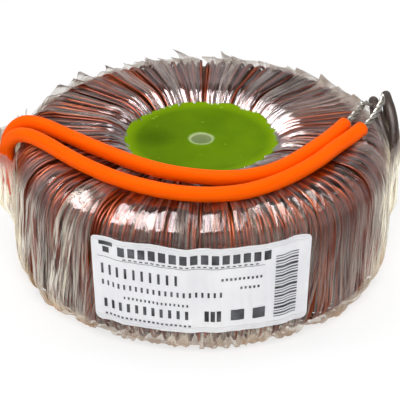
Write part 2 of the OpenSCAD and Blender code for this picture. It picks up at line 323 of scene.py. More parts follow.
class Graph:
    """The node graph of one material or of the world."""

    def __init__(self, owner, output="ShaderNodeOutputMaterial"):
        self.owner = owner
        owner.use_nodes = True
        self.tree = owner.node_tree
        self.tree.nodes.clear()
        self.output = self.tree.nodes.new(output)

    def node(self, kind, settings=None, inputs=None, out=0):
        """Adds a node, sets its properties and then its sockets, and returns one output as a Value."""
        made = self.tree.nodes.new(kind)
        for key, value in (settings or {}).items():
            if key == "stops":
                self.set_stops(made.color_ramp, value)
            else:
                setattr(made, key, value)
        for key, value in (inputs or {}).items():
            socket = made.inputs[key]
            if isinstance(value, Value):
                self.tree.links.new(value.socket, socket)
            else:
                socket.default_value = value
        return Value(self, made.outputs[out])

    @staticmethod
    def set_stops(ramp, stops):
        """Gives a colour ramp its stops, each a position and a colour."""
        while len(ramp.elements) < len(stops):
            ramp.elements.new(0.5)
        for element, (position, colour) in zip(ramp.elements, stops):
            element.position = position
            element.color = colour

    def place(self, kind="Object"):
        """Texture coordinates of one kind."""
        return self.node("ShaderNodeTexCoord", out=kind)

    def stretched(self, vector, scale):
        """A vector with each part multiplied by that of scale, so that a noise of it runs in streaks."""
        return self.node("ShaderNodeMapping", None, {"Vector": vector, "Scale": scale})

    def noise(self, vector, scale, detail=3.0, roughness=0.5):
        """Noise from about 0.3 to 0.7, of so many patches a unit."""
        return self.node("ShaderNodeTexNoise", None,
                         {"Vector": vector, "Scale": scale, "Detail": detail, "Roughness": roughness})

    def ramp(self, value, stops):
        """A colour that follows a value through stops."""
        return self.node("ShaderNodeValToRGB", {"stops": stops}, {"Fac": value})

    def mixed(self, factor, a, b):
        """The colour a where factor is 0 and b where it is 1."""
        return self.node("ShaderNodeMix", {"data_type": "RGBA"}, {0: factor, 6: a, 7: b}, out=2)

    def math_mix(self, factor, a, b):
        """The number a where factor is 0 and b where it is 1."""
        return factor * (b - a) + a

    def bump(self, height, distance, strength):
        """The normal of a surface raised by height times distance."""
        return self.node("ShaderNodeBump", None, {"Height": height, "Distance": distance,
                                                  "Strength": strength})

    def separate(self, vector, out):
        """One part of a vector."""
        return self.node("ShaderNodeSeparateXYZ", None, {"Vector": vector}, out=out)

    def axis_distance(self, where):
        """How far a place is from the upright axis: the length of its X and Y parts."""
        flat = self.node("ShaderNodeVectorMath", {"operation": "MULTIPLY"}, {0: where, 1: (1, 1, 0)})
        return self.node("ShaderNodeVectorMath", {"operation": "LENGTH"}, {0: flat}, out="Value")

    def light_path(self, *outputs):
        """What kind of ray is being traced: 1 or 0 for each of the kinds asked for."""
        path = self.tree.nodes.new("ShaderNodeLightPath")
        return tuple(Value(self, path.outputs[name]) for name in outputs)

    def principled(self, inputs):
        """The shader of most finishes."""
        return self.node("ShaderNodeBsdfPrincipled", None, inputs)

    def finish(self, shader):
        """Links the shader to the output and gives back the material or world."""
        self.tree.links.new(shader.socket, self.output.inputs["Surface"])
        return self.owner


def new_material(name):
    """The empty graph of a new material."""
    return Graph(bpy.data.materials.new(name))


def linear(red, green, blue):
    """A colour given in display values from 0 to 255, as linear light with alpha 1."""
    parts = [c / 255 for c in (red, green, blue)]
    return tuple(c / 12.92 if c <= 0.04045 else ((c + 0.055) / 1.055) ** 2.4 for c in parts) + (1.0,)

# ---------------------------------------------------------------- materials


FILM_GLOSS = 2.0
GRAZING_GLOSS = 0.24
CROWDED_GLOSS = 0.32
# Strength of the painted glow: emission that stands in for light coming through the milky film.
MILK_PAINTED_GLOW = 0.38
CREAM, GOLD = linear(244, 240, 220), linear(194, 158, 114)
CROWN_FRONT, CROWN_REAR, TIP_BROWN = linear(196, 176, 150), linear(150, 136, 118), linear(128, 114, 98)


def enamelled_copper():
    """Enamelled copper wire: red-brown, glossy, a little lighter and darker from turn to turn."""
    g = new_material("enamelled_copper")
    uv = g.place("UV")
    turn = g.noise(g.stretched(uv, (37.0, 0.4, 1.0)), 6.0, 1.0)
    patch = g.noise(g.place(), 55.0, 2.0)
    colour = g.ramp((turn * 0.6 + patch * 0.4).clamped(), [
        (0.34, linear(54, 17, 6)), (0.48, linear(140, 54, 23)), (0.62, linear(204, 102, 54))])
    return g.finish(g.principled({
        "Base Color": colour, "Metallic": 0.55, "Roughness": 0.34, "Coat Weight": 0.5,
        "Coat Roughness": 0.12}))


def barrier_tape():
    """Golden polyester tape, seen between the turns."""
    g = new_material("barrier_tape")
    tone = g.noise(g.place(), 90.0, 3.0)
    colour = g.ramp(tone, [(0.35, linear(58, 34, 16)), (0.65, linear(112, 74, 38))])
    return g.finish(g.principled({"Base Color": colour, "Roughness": 0.3,
                                  "Normal": g.bump(tone, 0.0002, 0.3)}))


def clear_film():
    """Clear polyester film. It is mostly transparent, mirror-like by its Fresnel reflection, more so
    where it is crowded in the bore, and milky along its edges and where the veil attribute says, in
    streaks that follow its creases. The milky part is cream, golden near the base, grey-brown on the
    crown and its tips, and carries a painted glow, an emission that stands in for the light that comes
    through it. U runs across a lap and V along it."""
    g = new_material("clear_film")
    uv, where = g.place("UV"), g.place()
    height, radius = g.separate(where, "Z"), g.axis_distance(where)
    low = height.between(7.5 * MM, 1.25 * MM)
    high = height.between(CROWN_Z - 9 * MM, CROWN_Z - 4.45 * MM)
    rear = g.separate(where, "Y").between(-35 * MM, 0.7 * MM)
    peak = height.between(CROWN_Z - 0.4 * MM, CROWN_Z + 0.85 * MM) * rear * radius.between(44.5 * MM, 47 * MM)
    crowded = radius.between(30.5 * MM, 25.95 * MM)
    creases = g.noise(g.stretched(uv, (9.0, 2.5, 1.0)), 1.0, 3.0, 0.6)
    streaks = g.noise(g.stretched(uv, (8.0, 0.35, 1.0)), 1.0, 2.0, 0.6)
    edge = (g.separate(uv, "X") - 0.5).math("ABSOLUTE") * 2.0
    veil = g.node("ShaderNodeAttribute", {"attribute_name": "veil"}, out="Fac")
    milk = (veil * ((streaks - 0.42 + low * 0.14) * 6.0).clamped() + edge ** 40.0 * 0.16
            + (creases - 0.62).math("MAXIMUM", 0.0) * 0.3 + peak * 0.5)
    normal = g.bump(creases, 0.00014, 0.4)
    gloss = g.node("ShaderNodeFresnel", None, {"IOR": 1.6, "Normal": normal}) * FILM_GLOSS
    gloss = (gloss * (crowded * 1.3 + 1.0)).math("MINIMUM", crowded * CROWDED_GLOSS + GRAZING_GLOSS)
    cover = (gloss + milk).clamped()
    metal = gloss.math("DIVIDE", gloss + milk).clamped()
    milky = g.mixed(low, CREAM, GOLD)
    milky = g.mixed(high, milky, g.mixed(rear, CROWN_FRONT, CROWN_REAR))
    milky = g.mixed(peak, milky, TIP_BROWN)
    # Painted glow: the milky part emits its own colour, darker on the crown, in place of light coming through
    # the film.
    glow = g.mixed(high, milky, linear(84, 74, 62))
    surface = g.principled({
        "Base Color": g.mixed(metal, milky, linear(240, 228, 232)), "Metallic": metal,
        "Emission Color": g.mixed(metal, glow, linear(0, 0, 0)), "Emission Strength": MILK_PAINTED_GLOW,
        "Roughness": g.math_mix(metal, 0.35, 0.03), "Normal": normal})
    clear = g.node("ShaderNodeBsdfTransparent", None, {"Color": (0.96, 0.94, 0.90, 1.0)})
    return g.finish(g.node("ShaderNodeMixShader", None, {0: cover, 1: clear, 2: surface}))


def green_resin():
    """Green potting resin: clouded, with painted shade in a darker soft patch and towards the left,
    paler at its rim, painted light round the hole, and specks."""
    g = new_material("green_resin")
    where = g.place()
    radius = g.axis_distance(where)
    cloud = g.noise(where, 45.0, 2.0)
    colour = g.ramp(cloud, [(0.35, linear(82, 113, 3)), (0.62, linear(101, 135, 8))])
    # Painted shade: a soft dark patch on the top, left of the hole, darkest at its middle.
    patch = g.node("ShaderNodeVectorMath", {"operation": "DISTANCE"}, {
        0: where, 1: (-13.8 * MM, 1.2 * MM, POTTING_TOP)}, out="Value")
    shade = g.ramp(patch * 130.0, [(0.0, (1, 1, 1, 1)), (0.35, (0.75, 0.75, 0.75, 1)), (1.0, (0, 0, 0, 1))])
    # Painted shade: the left side of the top is darkened.
    left = g.separate(where, "X").between(-1 * MM, -12.1 * MM) * 0.5
    specks = g.noise(where, 900.0, 2.0).between(0.72, 0.803)
    # The pale tone round the hole is painted light, as if the hole's wall were lit from below through it.
    for share, tone in ((shade, linear(56, 82, 0)), (left, linear(66, 92, 0)),
                        (radius.between(18.5 * MM, 21.53 * MM), linear(112, 144, 4)),
                        (radius.between(HOLE_R + 1.11 * MM, HOLE_R), linear(176, 192, 140)),
                        (specks, linear(150, 178, 60))):
        colour = g.mixed(share, colour, tone)
    return g.finish(g.principled({"Base Color": colour, "Roughness": 0.6, "Specular IOR Level": 0.03,
                                  "Normal": g.bump(g.noise(where, 160.0, 3.0), 0.0003, 0.25)}))


def label_paper():
    """White coated paper, faintly uneven."""
    g = new_material("label_paper")
    tone = g.noise(g.place(), 60.0, 3.0)
    colour = g.ramp(tone, [(0.3, linear(232, 232, 236)), (0.7, linear(246, 246, 247))])
    return g.finish(g.principled({"Base Color": colour, "Roughness": 0.42,
                                  "Normal": g.bump(tone, 0.0003, 0.2)}))


def label_ink():
    """Dark grey print, uneven as a worn ribbon prints."""
    g = new_material("label_ink")
    tone = g.noise(g.place(), 260.0, 3.0)
    colour = g.ramp(tone, [(0.3, linear(44, 44, 48)), (0.7, linear(104, 104, 108))])
    return g.finish(g.principled({"Base Color": colour, "Roughness": 0.5}))


def orange_sleeving():
    """Orange extruded sleeving, satin, with faint length-wise lines."""
    g = new_material("orange_sleeving")
    uv = g.place("UV")
    lines = g.noise(g.stretched(uv, (14.0, 60.0, 1.0)), 1.0, 3.0)
    colour = g.ramp(lines, [(0.3, linear(252, 90, 0)), (0.7, linear(255, 98, 0))])
    return g.finish(g.principled({"Base Color": colour, "Roughness": 0.4, "Specular IOR Level": 0.05,
                                  "Normal": g.bump(lines, 0.0001, 0.25)}))


def tinned_copper():
    """Bright tinned copper, with flux marks that dull it in places."""
    g = new_material("tinned_copper")
    marks = g.noise(g.place(), 700.0, 3.0)
    colour = g.ramp(marks, [(0.3, linear(160, 150, 136)), (0.6, linear(236, 233, 226))])
    rough = g.ramp(marks, [(0.3, (0.5, 0.5, 0.5, 1)), (0.6, (0.22, 0.22, 0.22, 1))])
    return g.finish(g.principled({"Base Color": colour, "Metallic": 1.0, "Roughness": rough}))


def black_cover():
    """Dark brown-black lead insulation, satin."""
    g = new_material("black_cover")
    tone = g.noise(g.place(), 120.0, 3.0)
    colour = g.ramp(tone, [(0.3, linear(44, 34, 30)), (0.7, linear(66, 52, 46))])
    return g.finish(g.principled({"Base Color": colour, "Roughness": 0.38,
                                  "Normal": g.bump(tone, 0.0001, 0.2)}))


def plain_finish(name, low, high, scale, inputs):
    """A finish for a sealed inner piece: two tones that follow a noise."""
    g = new_material(name)
    tone = g.noise(g.place(), scale, 3.0)
    return g.finish(g.principled({"Base Color": g.ramp(tone, [(0.3, low), (0.7, high)]), **inputs}))


STRIP_T = 0.3 * MM


def wound_steel():
    """Strip-wound steel: bands of tone by radius, as the strip's turns show."""
    g = new_material("wound_steel")
    turns = (g.axis_distance(g.place()) * (TAU / STRIP_T)).math("SINE") * 0.5 + 0.5
    colour = g.mixed(turns, linear(118, 120, 124), linear(158, 160, 164))
    return g.finish(g.principled({"Base Color": colour, "Metallic": 1.0, "Roughness": 0.4,
                                  "Normal": g.bump(turns, 0.00005, 0.5)}))


COPPER = enamelled_copper()
TAPE = barrier_tape()
FILM = clear_film()
RESIN = green_resin()
PAPER = label_paper()
INK = label_ink()
ORANGE = orange_sleeving()
TINNED = tinned_copper()
BLACK = black_cover()
STEEL = wound_steel()
BOARD = plain_finish("end_board", linear(196, 186, 150), linear(222, 212, 180), 200.0, {"Roughness": 0.7})
FINE_COPPER = plain_finish("fine_copper", linear(96, 34, 20), linear(140, 58, 34), 400.0,
                           {"Metallic": 0.5, "Roughness": 0.35})

# ---------------------------------------------------------------- camera, light and floor

CAMERA_ELEVATION = math.radians(30.3)
CAMERA_DISTANCE = 0.509
CAMERA_AIM_Z = 0.0176
LENS_MM = 153.234
SENSOR_MM = 36.0
SHIFT_X = -0.00325


def place_camera():
    """The camera looks along +Y, pitched down by its elevation, at a point on the axis."""
    camera = bpy.data.cameras.new("camera")
    camera.lens = LENS_MM
    camera.sensor_width = SENSOR_MM
    camera.shift_x = SHIFT_X
    camera.clip_start = 0.01
    holder = bpy.data.objects.new("camera", camera)
    holder.location = (0, -CAMERA_DISTANCE * math.cos(CAMERA_ELEVATION),
                       CAMERA_AIM_Z + CAMERA_DISTANCE * math.sin(CAMERA_ELEVATION))
    holder.rotation_euler = (math.pi / 2 - CAMERA_ELEVATION, 0, 0)
    bpy.context.collection.objects.link(holder)
    bpy.context.scene.camera = holder


def softbox(name, location, size, power):
    """A rectangular area light turned to face the object. It doesn't show in reflections."""
    lamp = bpy.data.lights.new(name, "AREA")
    lamp.shape = "RECTANGLE"
    lamp.size, lamp.size_y = size
    lamp.energy = power
    holder = bpy.data.objects.new(name, lamp)
    bpy.context.collection.objects.link(holder)
    holder.location = location
    holder.visible_glossy = False
    toward = Vector(LIT_POINT) - Vector(location)
    holder.rotation_euler = toward.to_track_quat("-Z", "Y").to_euler()


LIT_POINT = (0, 0, 30 * MM)
WORLD_DIFFUSE = 0.42
BACKDROP = 0.45
ROOM = 0.07
FLOOR_REFLECTED = 0.22
WINDOW = 10.0
WINDOW_DIM = 0.4
WINDOW_HALF_W = 1.35
WINDOW_BACK = 0.42
WINDOW_FRONT = -1.05
BLINDS = 3.6


def light_stage():
    """The world, and four softboxes that light without being mirrored. The world is white where the
    camera sees it and plain grey as a light. In reflections it is a pale backdrop over the lowest part
    of the sky, a dark room above that, and a bright window overhead, whose edges are straight lines on
    a ceiling one unit up. Upright blinds part the window into uneven strips, and its right half is
    dimmer and more closed."""
    world = bpy.data.worlds.new("studio")
    bpy.context.scene.world = world
    g = Graph(world, "ShaderNodeOutputWorld")
    x, y, z = (g.separate(g.place("Generated"), axis) for axis in "XYZ")
    up = z.math("MAXIMUM", 0.05)
    across, along = x.math("DIVIDE", up), y.math("DIVIDE", up)
    right = across.between(-0.125, 0.125)
    blinds = g.noise(g.node("ShaderNodeCombineXYZ", None, {0: across}), BLINDS, 2.0)
    window = (across.math("ABSOLUTE").between(WINDOW_HALF_W, WINDOW_HALF_W - 0.167)
              * along.between(WINDOW_BACK, WINDOW_BACK - 0.05)
              * along.between(WINDOW_FRONT, WINDOW_FRONT + 0.1)
              * z.between(0.3, 0.4) * (blinds - right * 0.11).between(0.43, 0.5014)
              * g.math_mix(right, 1.0, WINDOW_DIM))
    backdrop = z.between(0.62, 0.477)
    reflected = backdrop * (BACKDROP - ROOM) + ROOM + window * WINDOW
    camera, through, glossy = g.light_path("Is Camera Ray", "Is Transmission Ray", "Is Glossy Ray")
    strength = camera.math("MAXIMUM", through).math(
        "MAXIMUM", glossy * reflected + (1.0 - glossy) * WORLD_DIFFUSE)
    g.finish(g.node("ShaderNodeBackground", None, {"Color": (1, 1, 1, 1), "Strength": strength}))
    softbox("front_top", (0.05, -0.42, 0.88), (0.46, 0.28), 4.6)
    softbox("overhead", (0.05, 0.30, 0.95), (0.7, 0.4), 2.8)
    softbox("left", (-0.95, -0.15, 0.40), (0.3, 0.6), 2.6)
    softbox("right", (0.95, -0.05, 0.40), (0.3, 0.6), 1.4)


FLOOR_HALF = 2.5
SHADOWLESS = 0.72


def floor_material():
    """White where the camera sees it, shaded by the object's soft shadow, and grey in reflections."""
    g = new_material("floor_white")
    matt = g.principled({"Base Color": (0.9, 0.9, 0.9, 1), "Roughness": 0.9})
    camera, glossy = g.light_path("Is Camera Ray", "Is Glossy Ray")
    glow = g.node("ShaderNodeEmission", None, {
        "Color": (1, 1, 1, 1), "Strength": camera + glossy * FLOOR_REFLECTED})
    return g.finish(g.node("ShaderNodeMixShader", None, {0: camera * SHADOWLESS + glossy, 1: matt, 2: glow}))


def make_floor():
    """A square floor in the plane of the base."""
    points = [(x * FLOOR_HALF, y * FLOOR_HALF, 0) for x, y in ((-1, -1), (1, -1), (1, 1), (-1, 1))]
    make_mesh("floor", points, [(0, 1, 2, 3)], floor_material(), smooth=False)


bpy.context.scene.view_settings.view_transform = "Standard"
place_camera()
light_stage()
make_floor()

# ---------------------------------------------------------------- leads


CORD_SIDES = 20
CORD_STEP = 1.2 * MM
TAIL_STEP = 0.5 * MM
TAIL_STRANDS = 3
TAIL_STRAND_R = 0.48 * MM
TAIL_SIDES = 10
TAIL_LAY = 9 * MM


def cord_piece(name, route, diameter, material, slot, node, **facts):
    """A lead as a round tube along its route."""
    path = through(route, CORD_STEP)
    points, faces, uv = tube(path, diameter / 2, CORD_SIDES)
    piece = make_mesh(name, points, faces, material, uv)
    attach(piece, BODY)
    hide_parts(node)


def twisted_tail(name, route, node, uneven):
    """Three tinned strands twisted round a route: each is the route shifted sideways by a radius that
    turns once a lay. They splay a little towards the cut end, where each strand is three points of the
    path shorter than the last, and all are shorter by uneven points."""
    path = through(route, TAIL_STEP)
    across, aside = carried_frames(path)
    along = lengths_along(path)
    parts = []
    for k in range(TAIL_STRANDS):
        angle = TAU * (along / TAIL_LAY + k / TAIL_STRANDS)
        spread = (0.54 + 0.5 * smooth_step(along / along[-1], 0.8, 1.0)) * MM
        line = path + spread[:, None] * (np.cos(angle)[:, None] * across + np.sin(angle)[:, None] * aside)
        parts.append(tube(line[:len(line) - 3 * k - uneven], TAIL_STRAND_R, TAIL_SIDES))
    points, faces, uv = joined(parts)
    piece = make_mesh(name, points, faces, TINNED, uv)
    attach(piece, BODY)
    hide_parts(node)
    return piece


tail_upper = twisted_tail("twisted_tail_upper", TAIL_UPPER_ROUTE, "tail_upper", 1)
tail_lower = twisted_tail("twisted_tail_lower", TAIL_LOWER_ROUTE, "tail_lower", 2)
cord_piece("sleeved_lead_upper", SLEEVE_UPPER_ROUTE, SLEEVE_D, ORANGE, "orange_sleeving", "sleeve_upper",
           far_end="bare", stiffness="medium", lay="loose", with_pieces=[tail_upper])
cord_piece("sleeved_lead_lower", SLEEVE_LOWER_ROUTE, SLEEVE_D, ORANGE, "orange_sleeving", "sleeve_lower",
           far_end="bare", stiffness="medium", lay="loose", with_pieces=[tail_lower])
for number, route in ((1, PRIMARY_LEAD_1_ROUTE), (2, PRIMARY_LEAD_2_ROUTE)):
    tip = frame["nodes"][f"primary_tip_{number}"]
    cord_piece(f"black_lead_{number}", route, PRIMARY_LEAD_D, BLACK, "black_lead_cover",
               f"primary_lead_{number}", far_end="bare", stiffness="medium", lay="loose",
               with_pieces=[tip])

# ---------------------------------------------------------------- winding


WIRE_D = 0.9 * MM
STRAND_SHOULDERS = {1: 9 * MM, 2: 8 * MM, 3: 6.5 * MM}
STRAND_PITCH = 1.05 * MM
STRAND_BORE_R = 20.85 * MM
STRAND_FUNNEL = (9.5 * MM, 6.6 * MM, 1.8)
STRAND_BEND = 6 * MM
STRAND_FOOT = (6.5 * MM, 6.5 * MM, 2.0)
TURN_POINTS = 72
TURN_SIDES = 6
TURN_GROUPS = 16
TURNS_A_GROUP = 6
GROUP_FILL = 0.985


def strand_turns(number):
    """One strand's turns: each turn is the ring's section, moved out of the plane by a slow wave, and
    turns are gathered in groups with a narrow gap between them. A tube follows each."""
    low, high = strand_boxes[number]
    half_h = (high[2] - low[2]) / 2 - WIRE_D / 2
    wall_r = high[0] - WIRE_D / 2 - 0.1 * MM
    shoulder = STRAND_SHOULDERS[number]
    r, z, nr, nz = ring_outline(TURN_POINTS, STRAND_BORE_R + STRAND_PITCH * (number - 1), wall_r, half_h,
                                STRAND_BEND, STRAND_FUNNEL, (shoulder, shoulder, 2.0), STRAND_FOOT)
    section = np.arange(TURN_POINTS) * TAU / TURN_POINTS
    group_angle = TAU / TURN_GROUPS
    pitch = group_angle * GROUP_FILL / (3 * TURNS_A_GROUP)
    draw = np.random.default_rng(40 + number)
    parts = []
    for group in range(TURN_GROUPS):
        lean = draw.normal(0, 0.004)
        for turn in range(TURNS_A_GROUP):
            centre = group * group_angle + (3 * turn + number - 1) * pitch
            sway = 0.22 * pitch * waves(section, int(draw.integers(1e6)), 3)
            angle = centre + draw.normal(0, 0.12) * pitch + sway + lean * np.cos(section)
            out = 0.06 * MM * draw.normal()
            path = on_ring(angle, r + out * nr, z + out * nz)
            parts.append(closed_tube(path, angle, nr, nz, WIRE_D / 2, TURN_SIDES, len(parts)))
    points, faces, uv = joined(parts)
    piece = make_mesh(f"copper_turns_{number}", points, faces, COPPER, uv)
    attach(piece, BODY)
    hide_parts(f"secondary_strand_{number}")


def closed_tube(path, angle, nr, nz, radius, sides, index):
    """A closed tube round a turn that stands near a plane through the axis: ring i is a circle in the
    plane of the section's normal and the direction round the ring."""
    normal = np.stack([nr * np.cos(angle), nr * np.sin(angle), nz], axis=-1)
    aside = np.stack([-np.sin(angle), np.cos(angle), np.zeros_like(angle)], axis=-1)
    turn = np.arange(sides) * TAU / sides
    ring = np.cos(turn)[:, None] * aside[:, None] + np.sin(turn)[:, None] * normal[:, None]
    points = path[:, None] + radius * ring
    rows = len(path)
    uv = np.stack(np.broadcast_arrays(np.full((1, sides), index * 0.173), np.arange(rows)[:, None] / rows),
                  axis=-1)
    return (points.reshape(-1, 3), grid_faces(rows, sides, close_rows=True, close_columns=True),
            uv.reshape(-1, 2))


for number in (1, 2, 3):
    strand_turns(number)

# ---------------------------------------------------------------- film

FILM_STEPS = 128
FILM_COLUMNS = 7
RIBBONS = 80
RIBBON_ANGLE = TAU / RIBBONS
RIBBON_SHARES = (1.15, 1.75)
RIBBON_SKEW = (0.05, 0.04)
FILM_OUTLINE = ring_outline(FILM_STEPS, 20.4 * MM, WALL_R, MID_Z - 0.25 * MM, 6.5 * MM,
                            (10 * MM, 7 * MM, 1.8), (10.9 * MM, 12 * MM, 2.2), (7.2 * MM, 7.2 * MM, 2.0))
FRONT = -math.pi / 2
OVERLAP_H = 0.45 * MM
FACET_H = 0.19 * MM
SLACK_H = 0.14 * MM
FOLD_H = 0.4 * MM
BULGE_H = 0.5 * MM
TEETH_H = 1.8 * MM
LEFT_H = (0.1 * MM, 1.5 * MM)
TIP_H = (0.8 * MM, 3.2 * MM)
TIP_R = (47.5 * MM, 1.4 * MM)
TIP_WIDTH = 2.4 * MM


def away(angle, centre):
    """How far an angle is from a centre, from 0 to pi."""
    return np.abs((angle - centre + math.pi) % TAU - math.pi)


def film_ribbons():
    """The ribbon of film, lap by lap: lap n is a closed band round the ring's section, wider than its
    share of the circle and askew. Across a lap the height above the section grows with u, so that its
    far edge lies over the next lap. Each lap is dented in facets, bulges and leans its own way, and
    stands off a little at the two sides where the leads leave. At the back the far edge stands up in a
    tip at the shoulder. In the bore the band is gathered into folds, under the label it is pressed
    flat, and at the foot it ends in teeth. The veil, where film looks milky, is a lap's own share and
    more at the foot and the tips; at the left and right sides of the lower wall it is a painted sheen,
    wider on the left, that stands in for the film's pale reflection there."""
    r, z, nr, nz = (a[:, None] for a in FILM_OUTLINE)
    u = np.linspace(0, 1, FILM_COLUMNS)[None]
    section = (np.arange(FILM_STEPS) * TAU / FILM_STEPS)[:, None]
    gathered = smooth_step(40 * MM - r, 0, 18 * MM)
    outside = smooth_step(r, 42 * MM, 50 * MM)
    foot = outside * (1 - smooth_step(z, -MID_Z, -MID_Z + 7 * MM))
    below_label = 1 - smooth_step(z, 12.5 * MM, 16.5 * MM)
    draw = np.random.default_rng(7)
    parts = []
    for n in range(RIBBONS):
        width = RIBBON_ANGLE * draw.uniform(*RIBBON_SHARES)
        skew = draw.normal(*RIBBON_SKEW)
        angle = n * RIBBON_ANGLE + draw.normal(0, 0.10) * RIBBON_ANGLE + u * width + skew * np.sin(section)
        pressed = (1 - smooth_step(away(angle, FRONT), 0.57, 0.72)) * below_label
        loose = 1 - 0.85 * pressed
        rear = smooth_step(np.sin(angle), -0.05, 0.3)
        tip_r = TIP_R[0] + draw.normal(0, TIP_R[1])
        tip = np.exp(-np.abs(r - tip_r) / TIP_WIDTH) * (z > 6 * MM) * rear * u**7
        tip_h = draw.uniform(*TIP_H)
        angle = angle + draw.uniform(0.02, 0.09) * tip
        twist = draw.normal(0, 0.16) * (u - 0.5) * width * r * loose
        bulge = draw.uniform(0, BULGE_H) * (1 - (2 * u - 1) ** 2) * outside * loose
        shifts = draw.uniform(0, TAU, FILM_COLUMNS)[None]
        facets = FACET_H * waves(section + shifts, n + 300, 3) * loose * (1 - 0.7 * gathered)
        folds = gathered * FOLD_H * np.sin(TAU * (1 + draw.integers(0, 2)) * u + draw.uniform(0, TAU))
        slack = SLACK_H * waves(section * 2, n + 100, 5) * loose
        teeth = foot * draw.uniform(0, TEETH_H) * np.abs(np.sin(TAU * u + draw.uniform(0, TAU)))
        aside = draw.uniform(*LEFT_H) * np.cos(angle) ** 10 * outside * u
        out = OVERLAP_H * u * loose + aside + tip * tip_h + twist + bulge + facets + folds + slack + teeth
        flat = r * (1 / np.cos((u - 0.5) * width) - 1)
        points = on_ring(angle, r + out * nr + flat * np.abs(nr), np.maximum(z + out * nz, -MID_Z))
        uv = np.stack(np.broadcast_arrays(u, section / TAU * 30 + n * 3.7), axis=-1)
        # Painted sheen: the veil is raised on the left and right sides of the lower wall, painting the film's
        # pale grazing reflection in as milkiness.
        side = np.where(np.cos(angle) < 0, 0.7 * np.cos(angle) ** 6, 0.8 * np.cos(angle) ** 12)
        side = side * outside * (1 - smooth_step(z, 9 * MM, 19 * MM))
        front = 1 - smooth_step(away(angle, FRONT), 0.5, 0.8)
        veil = (0.5 * draw.random() ** 4 + side + 0.42 * foot * (1 - 0.45 * front) + 0.7 * tip
                + 0.09 * outside * (1 - smooth_step(z, -4 * MM, 12 * MM)))
        parts.append((points.reshape(-1, 3), grid_faces(FILM_STEPS, FILM_COLUMNS, close_rows=True),
                      uv.reshape(-1, 2), np.broadcast_to(veil, points.shape[:2]).ravel()))
    film_piece("film_ribbons", parts, "film_wrap", "film_laps")


def film_piece(name, parts, *nodes):
    """One piece of clear film from its parts, each given as points, faces, uv and veil."""
    points, faces, uv, veil = joined(parts)
    piece = make_mesh(name, points, faces, FILM, uv, veil)
    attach(piece, BODY)
    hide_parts(*nodes)


COVER_STRIPS = 9
COVER_COLUMNS = 9
COVER_ROWS = 56
COVER_SPREAD = 0.62
COVER_FOOT = 7.75 * MM
COVER_LOW = 1.0 * MM


def lead_cover(name, node, centre, reach, lead_foot):
    """The last laps, drawn down over a pair of leads. Each is a strip from its cut upper edge to the
    base, close to the wall with a lean of its own, and it rises by reach over the leads, which come up
    from lead_foot. It curves in at the base as a quarter circle, and it is milkiest over the leads."""
    parts = []
    draw = np.random.default_rng(int(centre * 100) + 3)
    t = np.linspace(0, 1, COVER_ROWS)[:, None]
    u = np.linspace(0, 1, COVER_COLUMNS)[None]
    for n in range(COVER_STRIPS):
        middle = centre + COVER_SPREAD * ((n + 0.5) / COVER_STRIPS - 0.5) + draw.normal(0, 0.01)
        half = draw.uniform(0.05, 0.085)
        angle = middle + half * (2 * u - 1) * (0.75 + 0.25 * t) + draw.normal(0, 0.05) * (1 - t)
        top = (draw.uniform(36.0, 39.5) + 0.7 * waves(3 * u, n, 4)) * MM
        height = COVER_LOW + t * (top - COVER_LOW)
        over = 1 - smooth_step(away(angle, centre), 0.07, 0.20)
        rise = smooth_step(height, lead_foot - 9 * MM, lead_foot - 1.5 * MM)
        foot = COVER_FOOT - np.sqrt(COVER_FOOT**2 - np.maximum(COVER_FOOT - height, 0) ** 2)
        shifts = draw.uniform(0, TAU, COVER_COLUMNS)[None]
        lift = OVERLAP_H + draw.uniform(0, 0.5) * MM + draw.normal(0, 0.06) * (u - 0.5) * half * WALL_R
        radius = WALL_R + lift + reach * over * rise - foot + FACET_H * waves(3 * t + shifts, n + 50, 3)
        points = round_axis(angle, radius, height)
        uv = np.stack(np.broadcast_arrays(u, t * 9 + n * 5.3), axis=-1)
        veil = (draw.uniform(0.1, 0.6) + 0.4 * (1 - smooth_step(height, 1 * MM, 12 * MM))
                + 1.5 * over * (1 - smooth_step(height, 26 * MM, 38 * MM)))
        veil = veil * (1 - 0.6 * smooth_step(height, 26 * MM, 36 * MM))
        parts.append((points.reshape(-1, 3), grid_faces(COVER_ROWS, COVER_COLUMNS), uv.reshape(-1, 2),
                      np.broadcast_to(veil, points.shape[:2]).ravel()))
    film_piece(name, parts, node)


film_ribbons()
lead_cover("film_over_secondary_leads", "secondary_tie", math.pi, 4.4 * MM, 22 * MM)
lead_cover("film_over_primary_leads", "primary_tie", 0.11, 3.3 * MM, 18 * MM)

# ---------------------------------------------------------------- potting

RESIN_TOP = POTTING_TOP - 0.9 * MM
RESIN_R = 22.4 * MM
HOLE_EDGE = 0.35 * MM
RESIN_SAG = 0.35 * MM
RESIN_CLIMB = 0.55 * MM
RESIN_STEPS = 180
# The resin's side, from its rim to the base, as radius and height.
RESIN_SIDE = ((RESIN_R + 0.25 * MM, RESIN_TOP - 0.3 * MM), (20.2 * MM, RESIN_TOP - 4 * MM),
              (20.1 * MM, 30 * MM), (20.1 * MM, 10 * MM), (20.6 * MM, 4.6 * MM), (22.4 * MM, 1.6 * MM),
              (24.4 * MM, 0.1 * MM), (24.4 * MM, 0), (HOLE_R, 0))


